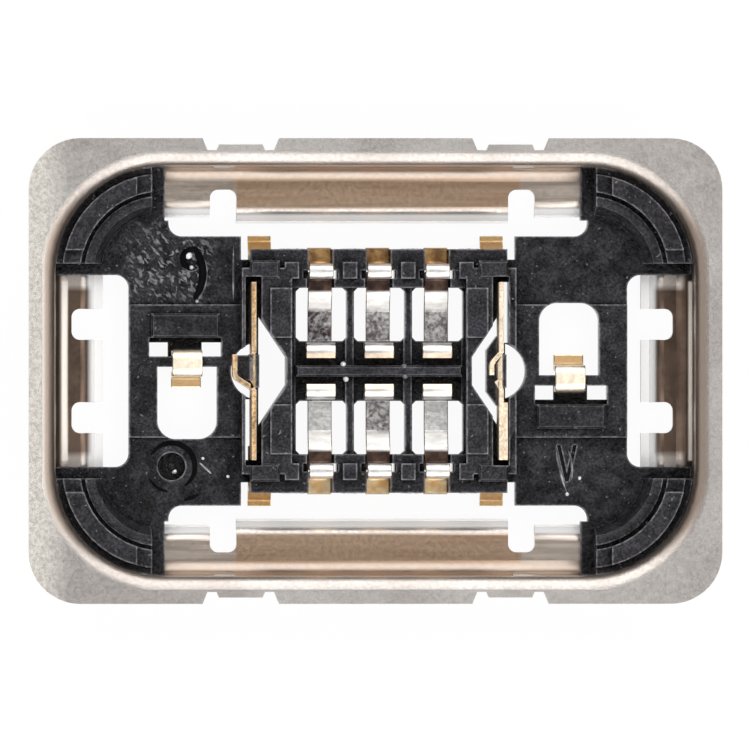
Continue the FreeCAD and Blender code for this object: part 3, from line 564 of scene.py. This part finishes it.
def black_moulding(grain, band, ring):
    """Black glass-filled moulding, rippled where it flowed in at the gate, with painted shade in
    its hollows and painted highlights on its edges.
    """
    material, tree, shader = new_material("black_glass_filled_moulding")
    place = place_in_mm(tree)
    skin = place_group(tree, grain, Cloud_Scale=9.0, Grain_Scale=26.0, Stretch_X=0.7, Stretch_Y=0.4)
    ripple = gate_ripple(tree, band, place)

    # Painted shade: recesses, the corner posts' groove and corners closed in by the moulding, found
    # by ambient occlusion, are painted black, raised faces grey
    opened = openness(tree, reach=0.10, samples=6, inside=False)
    shallow = turned_over(tree, area_mask(tree, band, SHADED_RECESSES))
    shade = multiplied(tree, shallow, ranged(tree, skin["Clouds"], 0.0, 1.0, 0.4, 1.0))
    block_top = multiplied(tree, area_mask(tree, band, END_BLOCK_TOP), skin["Clouds"])
    groove_shade = place_group(tree, ring, **POST_GROOVE)["Mask"]
    shade = multiplied(
        tree,
        maths(tree, "MAXIMUM", shade, block_top),
        turned_over(tree, multiplied(tree, groove_shade, area_mask(tree, band, POST_HEIGHT))),
        ranged(tree, opened, 0.35, 0.95, 0.0, 1.0),
    )

    # Painted highlight: outer edges, found by ambient occlusion into the moulding, are painted pale
    rim = openness(tree, reach=0.014, samples=8, inside=True)
    rim_highlight = multiplied(
        tree,
        ranged(tree, rim, 0.55, 0.95, 1.0, 0.0),
        ranged(tree, skin["Grain"], 0.2, 0.8, 0.35, 1.0),
        ranged(tree, opened, 0.4, 0.9, 0.15, 1.0),
    )

    pitted = ranged(tree, noise(tree, place, 62.0, 3.0, 0.62), 0.38, 0.64, 0.0, 1.0)
    raised = maths(tree, "ADD", multiplied(tree, shade, 0.85), 0.06)
    fleck = ranged(tree, noise(tree, place, 40.0, 1.5, 0.45), 0.69, 0.76, 0.0, 1.0)
    streaked = multiplied(tree, ripple, ranged(tree, skin["Grain"], 0.0, 1.0, 0.35, 1.0))
    colour = blended(tree, shade, MOULDING_SHADE_BLACK, MOULDING_GREY)
    for mask, finish in (
        (multiplied(tree, pitted, raised, 0.55), MOULDING_GRAIN),
        (streaked, MOULDING_RIPPLE),
        (multiplied(tree, fleck, 0.5), MOULDING_FLECK),
        (multiplied(tree, rim_highlight, 0.8), MOULDING_RIM_HIGHLIGHT),
    ):
        colour = blended(tree, mask, colour, finish)
    tree.links.new(colour, shader.inputs["Base Color"])

    dull = maths(tree, "MAXIMUM", multiplied(tree, shade, 0.8), ripple)
    tree.links.new(ranged(tree, dull, 0.0, 1.0, 0.16, 0.48), shader.inputs["Roughness"])
    shader.inputs["Specular IOR Level"].default_value = 0.16
    grainy = multiplied(tree, skin["Grain"], 1.6)
    relief = maths(tree, "ADD", multiplied(tree, ripple, 4.0), grainy)
    bumped(tree, shader, relief, MOULDING_RELIEF)
    return material


def edge_highlight_finish(grain):
    """Painted highlight on the moulding's broken edges and on pale lines along lips, paler than its
    faces in places.
    """
    material, tree, shader = new_material("moulding_edge_painted_highlight")
    mottling = place_group(tree, grain, Cloud_Scale=9.0, Grain_Scale=24.0, Stretch_X=0.8, Stretch_Y=0.8)
    patch_share = multiplied(tree, mottling["Clouds"], ranged(tree, mottling["Grain"], 0.0, 1.0, 0.3, 1.0))
    tree.links.new(blended(tree, patch_share, *EDGE_HIGHLIGHT_TONES), shader.inputs["Base Color"])
    tree.links.new(ranged(tree, mottling["Grain"], 0.0, 1.0, 0.40, 0.22), shader.inputs["Roughness"])
    return material


def gate_shadow(grain):
    """Painted shadow: a torn-looking black standing for the unlit bottom of the grooves round the
    gate and the ejector.
    """
    material, tree, shader = new_material("groove_painted_shadow")
    torn = place_group(tree, grain, Cloud_Scale=20.0, Grain_Scale=40.0)
    tree.links.new(blended(tree, torn["Clouds"], *GROOVE_SHADOW_BLACK), shader.inputs["Base Color"])
    tree.links.new(ranged(tree, torn["Grain"], 0.0, 1.0, 0.75, 1.0), shader.inputs["Roughness"])
    shader.inputs["Specular IOR Level"].default_value = 0.08
    return material


def flash_and_highlight_finish(grain):
    """Freshly broken, pale moulding flash, also laid along the rails as a painted highlight."""
    material, tree, shader = new_material("moulding_flash_and_painted_highlight")
    torn = place_group(tree, grain, Cloud_Scale=20.0, Grain_Scale=60.0)
    tree.links.new(blended(tree, torn["Grain"], *PALE_FLASH_AND_HIGHLIGHT), shader.inputs["Base Color"])
    tree.links.new(ranged(tree, torn["Clouds"], 0.0, 1.0, 0.35, 0.2), shader.inputs["Roughness"])
    return material


def contact_plating(name, grain, band, trough_darkness, gold):
    """Strip with gold at both ends and bare barrier plate between, darker in the trough and with
    painted shade on the ledge.
    """
    material, tree, shader = new_material(name)
    mottle = place_group(
        tree, grain, Cloud_Scale=15.0, Grain_Scale=48.0, Stretch_X=0.5, Stretch_Y=2.0
    )
    tail, tip, trough, ledge = (
        area_mask(tree, band, region)
        for region in (CONTACT_TAIL, CONTACT_TIP, CONTACT_TROUGH, CONTACT_LEDGE)
    )
    blotch = maths(
        tree,
        "ADD",
        multiplied(tree, mottle["Clouds"], 0.55),
        multiplied(tree, mottle["Grain"], 0.45),
    )
    darkened_trough = multiplied(tree, ranged(tree, blotch, 0.15, 0.85, 0.35, 1.0), trough_darkness, trough)
    gilded = maths(
        tree, "ADD", multiplied(tree, tail, 0.95), multiplied(tree, tip, 0.6), clamp=True
    )
    colour = blended(tree, mottle["Streaks"], *BARRIER_PLATE)
    for mask, finish in (
        (darkened_trough, TROUGH_DARK),
        # Painted shade: the ledge under each arch is painted dark brown
        (ledge, blended(tree, mottle["Clouds"], *LEDGE_SHADE_BROWN)),
        (gilded, blended(tree, turned_over(tree, mottle["Clouds"]), *gold)),
    ):
        colour = blended(tree, mask, colour, finish)
    tree.links.new(colour, shader.inputs["Base Color"])
    tree.links.new(ranged(tree, mottle["Grain"], 0.0, 1.0, 0.46, 0.34), shader.inputs["Roughness"])
    shader.inputs["Metallic"].default_value = 1.0
    bumped(tree, shader, mottle["Clouds"], STRIP_RELIEF)
    return material


def gold_plating(name, grain, band, dark, pale, rough):
    """Thin gold over copper alloy strip, browner down on the solder tail."""
    material, tree, shader = new_material(name)
    mottle = place_group(
        tree, grain, Cloud_Scale=10.0, Grain_Scale=50.0, Stretch_X=2.0, Stretch_Y=0.4
    )
    tail = area_mask(tree, band, SOLDER_TAIL)
    colour = blended(tree, mottle["Grain"], dark, pale)
    colour = blended(tree, multiplied(tree, mottle["Clouds"], 0.3), colour, WORN_GOLD)
    colour = blended(tree, multiplied(tree, tail, 0.8), colour, TAIL_BROWN)
    tree.links.new(colour, shader.inputs["Base Color"])
    tree.links.new(ranged(tree, mottle["Streaks"], 0.0, 1.0, *rough), shader.inputs["Roughness"])
    shader.inputs["Metallic"].default_value = 1.0
    bumped(tree, shader, mottle["Streaks"], STRIP_RELIEF)
    return material


def sheared_edge(name, colour, rough):
    """Polished break along a stamped edge."""
    material, tree, shader = new_material(name)
    mottling = noise(tree, place_in_mm(tree), 30.0, 2.0)
    dim = tuple(0.72 * channel for channel in colour)
    patchy = blended(tree, ranged(tree, mottling, 0.35, 0.65, 0.0, 1.0), dim, colour)
    tree.links.new(patchy, shader.inputs["Base Color"])
    tree.links.new(ranged(tree, mottling, 0.3, 0.7, rough, rough * 0.6), shader.inputs["Roughness"])
    shader.inputs["Metallic"].default_value = 1.0
    return material


def break_edges(node, faces, edge, width, segments):
    """Gives a CAD node its two finishes and a fine radius on its sharp edges."""
    piece = NODES[node]
    piece.data.materials.clear()
    piece.data.materials.append(faces)
    piece.data.materials.append(edge)
    weld = piece.modifiers.new("weld", "WELD")
    weld.merge_threshold = WELD_GAP * MM
    flat = piece.modifiers.new("flat_faces", "DECIMATE")
    flat.decimate_type = "DISSOLVE"
    flat.angle_limit = FLAT_ANGLE
    bevel = piece.modifiers.new("edge_break", "BEVEL")
    bevel.limit_method = "ANGLE"
    bevel.angle_limit = EDGE_ANGLE
    bevel.width = width * MM
    bevel.segments = segments
    bevel.use_clamp_overlap = True
    bevel.material = 1
    bevel.harden_normals = False


def piece_from(bm, name, material):
    """Turns a built mesh into a named piece on the one body."""
    mesh = bpy.data.meshes.new(name)
    bm.normal_update()
    bm.to_mesh(mesh)
    bm.free()
    for face in mesh.polygons:
        face.use_smooth = True
    made = bpy.data.objects.new(name, mesh)
    bpy.context.scene.collection.objects.link(made)
    mesh.materials.append(material)
    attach(made, "root")


def join_rings(bm, rings):
    """Walls from each ring of points to the next."""
    for near, far in zip(rings[:-1], rings[1:]):
        sides = len(near)
        for k in range(sides):
            bm.faces.new((near[k], near[(k + 1) % sides], far[(k + 1) % sides], far[k]))


def swept_bead(name, path, middle, ends, material, sides=10):
    """Round bead along a line of points, thickest at its middle and closed at both ends."""
    bm = bmesh.new()
    points = [Vector(p) * MM for p in path]
    radii = tapered(len(points), middle, ends)
    rings = []
    for i, point in enumerate(points):
        ahead = points[min(i + 1, len(points) - 1)]
        behind = points[max(i - 1, 0)]
        along = (ahead - behind).normalized()
        side = along.cross(Vector((0, 0, 1))).normalized()
        up = side.cross(along)
        ring = []
        for k in range(sides):
            turn = 2 * math.pi * k / sides
            offset = side * math.cos(turn) + up * math.sin(turn)
            ring.append(bm.verts.new(point + offset * radii[i] * MM))
        rings.append(ring)
    join_rings(bm, rings)
    bm.faces.new(rings[0][::-1])
    bm.faces.new(rings[-1])
    piece_from(bm, name, material)


def tapered(count, middle, ends):
    """Radii that swell from the ends to the middle of a bead."""
    swell = [max(0.0, math.sin(math.pi * i / (count - 1))) ** 0.5 for i in range(count)]
    return [ends + (middle - ends) * level for level in swell]


def arc_points(centre, radius, start, end, z, count):
    """Points round an arc in plan, angles in degrees from +X."""
    points = []
    for i in range(count):
        turn = math.radians(start + (end - start) * i / (count - 1))
        points.append((centre[0] + radius * math.cos(turn), centre[1] + radius * math.sin(turn), z))
    return points


def line_points(start, end, z, count=9):
    """Points along a straight line in plan."""
    return [(*(a + (b - a) * i / (count - 1) for a, b in zip(start, end)), z) for i in range(count)]


def dome(name, foot, radius, height, material):
    """Low rounded pip standing on a face."""
    bm = bmesh.new()
    rows, sides = 5, 20
    x, y, z = foot
    rings = []
    for row in range(rows):
        lift = height * math.sin(math.pi / 2 * row / rows)
        reach = radius * math.cos(math.pi / 2 * row / rows)
        ring = []
        for k in range(sides):
            turn = 2 * math.pi * k / sides
            point = (x + reach * math.cos(turn), y + reach * math.sin(turn), z + lift)
            ring.append(bm.verts.new(Vector(point) * MM))
        rings.append(ring)
    top = bm.verts.new(Vector((x, y, z + height)) * MM)
    join_rings(bm, rings)
    for k in range(sides):
        bm.faces.new((rings[-1][k], rings[-1][(k + 1) % sides], top))
    bm.faces.new(rings[0][::-1])
    piece_from(bm, name, material)


def add_moulding_details(finishes):
    """Marks of the mould on the end blocks and the rib, with painted shadow in the grooves and
    painted highlights along lips and the rails.
    """
    for name, centre, radius, start, end, count, depth, middle, ends, finish in MARK_ARCS:
        path = arc_points(centre, radius, start, end, PLATE_TOP - depth, count)
        swept_bead(name, path, middle, ends, finishes[finish])
    for name, start, end, depth, middle, ends, finish in MARK_LINES:
        path = line_points(start, end, PLATE_TOP - depth)
        swept_bead(name, path, middle, ends, finishes[finish])
    for name, foot, radius, height, finish in MARK_PIPS:
        dome(name, foot, radius, height, finishes[finish])
    for name, line in PLATE_LIP_HIGHLIGHTS.items():
        path = [(x, y, PLATE_TOP - LIP_HIGHLIGHT_DEPTH) for x, y in line]
        swept_bead(name, path, LIP_HIGHLIGHT_MIDDLE, LIP_HIGHLIGHT_ENDS, finishes["edge"], sides=8)
    for number, (x, y, finish) in enumerate(RIB_STUDS):
        foot = (x, y, RIB_TOP - STUD_DEPTH)
        dome("rib_stud_%d" % number, foot, STUD_RADIUS, STUD_HEIGHT, finishes[finish])
    # Painted highlights: pale lines along the rails
    for side, y in (("back", RAIL_Y), ("front", -RAIL_Y)):
        for number, (start, end) in enumerate(RAIL_HIGHLIGHT_X):
            path = line_points((OFFSET_X + start, y), (OFFSET_X + end, y), RAIL_TOP)
            name = "rail_highlight_%s_%d" % (side, number)
            swept_bead(name, path, RAIL_HIGHLIGHT_MIDDLE, RAIL_HIGHLIGHT_ENDS, finishes["flash"], sides=6)


def dress_nodes():
    """Gives every CAD node its finish and adds the moulding's marks."""
    grain = plating_grain_group()
    band = band_group()
    finishes = {
        "moulding": black_moulding(grain, band, post_ring_group()),
        "edge": edge_highlight_finish(grain),
        "groove_shade": gate_shadow(grain),
        "flash": flash_and_highlight_finish(grain),
    }
    shell = shell_plating(grain, band, wall_distance_group())
    nickel_edge = sheared_edge("shell_sheared_edge", **NICKEL_BREAK)
    break_edges("ground_shell", shell, nickel_edge, *SHELL_EDGE)
    break_edges("housing", finishes["moulding"], finishes["edge"], *HOUSING_EDGE)

    contact_edge = sheared_edge("contact_sheared_edge", **CONTACT_BREAK)
    for number, trough_darkness in enumerate(SIGNAL_TROUGH_DARKNESS, start=1):
        gold = BROWN_GOLD if number <= 3 else CLEAN_GOLD
        signal = contact_plating("signal_contact_plating_%d" % number, grain, band, trough_darkness, gold)
        break_edges("signal_contact_%d" % number, signal, contact_edge, *CONTACT_EDGE)

    gold_edge = sheared_edge("gold_sheared_edge", **GOLD_BREAK)
    wide = gold_plating("wide_contact_gold", grain, band, **WIDE_GOLD)
    blades = {
        "left": gold_plating("blade_gold_darker", grain, band, **LEFT_BLADE_GOLD),
        "right": gold_plating("blade_gold", grain, band, **RIGHT_BLADE_GOLD),
    }
    for side, blade in blades.items():
        break_edges("rf_contact_" + side, wide, gold_edge, *CONTACT_EDGE)
        break_edges("shield_blade_" + side, blade, gold_edge, *BLADE_EDGE)
    add_moulding_details(finishes)


def make_floor():
    """Pale table under the connector, white to the camera but for its shadow."""
    half = FLOOR_HALF * MM
    mesh = bpy.data.meshes.new("floor")
    corners = [(-half, -half, 0), (half, -half, 0), (half, half, 0), (-half, half, 0)]
    mesh.from_pydata(corners, [], [(0, 1, 2, 3)])
    floor = bpy.data.objects.new("floor", mesh)
    bpy.context.scene.collection.objects.link(floor)
    material = bpy.data.materials.new("pale_table")
    material.use_nodes = True
    tree = material.node_tree
    tree.nodes.clear()
    paths = tree.nodes.new("ShaderNodeLightPath")
    matt = tree_node(tree, "ShaderNodeBsdfDiffuse", {"Color": FLOOR_GREY})
    glow = tree_node(tree, "ShaderNodeEmission", {"Color": WHITE, "Strength": 1.0})
    seen = maths(tree, "MAXIMUM", paths.outputs["Is Camera Ray"], paths.outputs["Is Glossy Ray"])
    seen = maths(tree, "MAXIMUM", seen, paths.outputs["Is Transmission Ray"])
    mixed = tree_node(
        tree,
        "ShaderNodeMixShader",
        {0: multiplied(tree, seen, FLOOR_GLOW), 1: matt.outputs[0], 2: glow.outputs[0]},
    )
    tree_node(tree, "ShaderNodeOutputMaterial", {"Surface": mixed.outputs[0]})
    mesh.materials.append(material)


def make_world():
    """Surround that is dim overhead, white only where the camera sees it."""
    world = bpy.data.worlds.new("studio")
    world.use_nodes = True
    tree = world.node_tree
    tree.nodes.clear()
    paths = tree.nodes.new("ShaderNodeLightPath")
    toward = tree.nodes.new("ShaderNodeTexCoord").outputs["Generated"]
    height = tree_node(tree, "ShaderNodeSeparateXYZ", {0: toward}).outputs["Z"]
    level = ranged(tree, height, 0.2, 0.95, *FILL_LEVELS)
    fill = tree_node(tree, "ShaderNodeBackground", {"Color": WARM_WHITE, "Strength": level})
    white = tree_node(tree, "ShaderNodeBackground", {"Color": WHITE, "Strength": 1.0})
    mixed = tree_node(
        tree,
        "ShaderNodeMixShader",
        {0: paths.outputs["Is Camera Ray"], 1: fill.outputs[0], 2: white.outputs[0]},
    )
    tree_node(tree, "ShaderNodeOutputWorld", {"Surface": mixed.outputs[0]})
    bpy.context.scene.world = world


def make_lamp(name, azimuth, elevation, width, height, radiance):
    """Soft box aimed at the connector, angles in degrees."""
    a, e = math.radians(azimuth), math.radians(elevation)
    place = Vector((math.cos(a) * math.cos(e), math.sin(a) * math.cos(e), math.sin(e)))
    lamp = bpy.data.lights.new(name, "AREA")
    lamp.shape = "RECTANGLE"
    lamp.size = width * MM
    lamp.size_y = height * MM
    lamp.energy = radiance * math.pi * width * height * MM * MM
    made = bpy.data.objects.new(name, lamp)
    made.location = place * LAMP_DISTANCE * MM
    made.rotation_mode = "QUATERNION"
    made.rotation_quaternion = place.to_track_quat("Z", "Y")
    bpy.context.scene.collection.objects.link(made)


def make_camera():
    """Nearly straight down on the open side, leaning a little from -X."""
    data = bpy.data.cameras.new("camera")
    camera = bpy.data.objects.new("camera", data)
    bpy.context.scene.collection.objects.link(camera)
    data.lens = LENS
    data.sensor_width = SENSOR
    data.clip_start = CLIP_START * MM
    data.clip_end = CLIP_END * MM
    distance = FRAME_PIXELS * PIXEL * LENS / SENSOR
    right = Vector((math.cos(TILT), 0.0, math.sin(TILT)))
    up = Vector((0.0, 1.0, 0.0))
    back = right.cross(up)
    turned = Matrix((right, up, back)).transposed().to_4x4()
    camera.matrix_world = Matrix.Translation((Vector(AIM) + back * distance) * MM) @ turned
    bpy.context.scene.camera = camera
    bpy.context.scene.view_settings.view_transform = "Standard"


dress_nodes()
make_floor()
make_world()
for lamp in LAMPS:
    make_lamp(*lamp)
make_camera()
